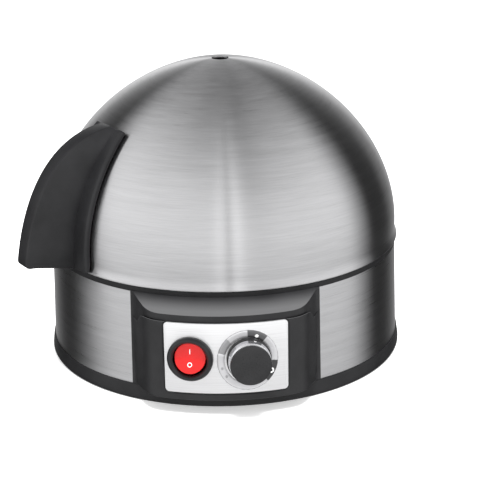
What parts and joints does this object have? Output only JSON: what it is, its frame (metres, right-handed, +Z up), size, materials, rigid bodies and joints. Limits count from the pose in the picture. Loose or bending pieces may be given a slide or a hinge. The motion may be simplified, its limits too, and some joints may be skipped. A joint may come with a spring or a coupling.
{
  "type": "egg cooker",
  "caption": "Electric egg cooker: domed steel steam lid with a side handle, steel-banded base with rocker switch and dial, and a lift-out egg tray over a heating plate.",
  "frame": {"origin": "on the surface it stands on, at the axis of the round body", "axes": "+Z up, -Y towards the control panel, +X to the user's right"},
  "size_m": [0.2019, 0.2129, 0.1573],
  "materials": {
    "dome_steel": "circumferentially brushed",
    "band_steel": "brushed round the body",
    "plate_steel": "satin",
    "black_plastic": "fine satin",
    "handle_plastic": "fine matte",
    "gloss_black": "semi-gloss",
    "rocker_red": "gloss, printed marks",
    "fascia_silver": "satin, printed dial scale",
    "bright_chrome": "polished",
    "foot_rubber": "matte",
    "seal_silicone": "matte",
    "cover_plastic": "matte",
    "tray_plastic": "satin",
    "element_steel": "oxidised",
    "bracket_steel": "zinc plated",
    "screw_steel": "plain",
    "shield_aluminium": "bright",
    "contact_brass": "plain",
    "control_ceramic": "glazed",
    "block_plastic": "matte",
    "board_green": "lacquered"
  },
  "bodies": {
    "base": {"base_skirt": "black_plastic", "bottom_cover": "cover_plastic", "rubber_feet": "foot_rubber", "base_screws": "screw_steel", "steel_band": "band_steel", "collar": "black_plastic", "plate_seal": "seal_silicone", "heating_plate": "plate_steel", "heating_element": "element_steel", "element_clamp": "bracket_steel", "stud_nuts": "screw_steel", "thermostat": "control_ceramic", "thermal_fuse": "contact_brass", "heat_shield": "shield_aluminium", "terminal_block": "block_plastic", "cord_gland": "black_plastic", "control_housing": "black_plastic", "fascia_plate": "fascia_silver", "switch_body": "gloss_black", "switch_terminals": "contact_brass", "regulator_body": "block_plastic", "regulator_nut": "screw_steel", "circuit_board": "board_green", "buzzer": "gloss_black"},
    "lid": {"lid_shell": "dome_steel", "lid_handle": "handle_plastic", "handle_screws": "screw_steel", "handle_washers": "screw_steel"},
    "tray": {"egg_tray": "tray_plastic", "tray_handle": "tray_plastic", "tray_screw": "screw_steel"},
    "dial": {"regulator_shaft": "screw_steel", "dial_knob": "gloss_black", "dial_ring": "bright_chrome"},
    "rocker": {"rocker": "rocker_red"}
  },
  "joints": [
    {"name": "lid_lift", "type": "slide", "parent": "base", "child": "lid", "axis": [0, 0, 1], "range_m": [0, 0.15]},
    {"name": "tray_lift", "type": "slide", "parent": "base", "child": "tray", "axis": [0, 0, 1], "range_m": [0, 0.018]},
    {"name": "dial_turn", "type": "hinge", "parent": "base", "child": "dial", "pos_m": [0.0109, -0.10539, 0.0305], "axis": [-0.1124, 0.9937, 0], "range_deg": [0, 270]},
    {"name": "rocker_tilt", "type": "hinge", "parent": "base", "child": "rocker", "pos_m": [-0.01724, -0.10191, 0.0305], "axis": [0.9832, -0.1825, 0], "range_deg": [0, 20]}
  ]
}
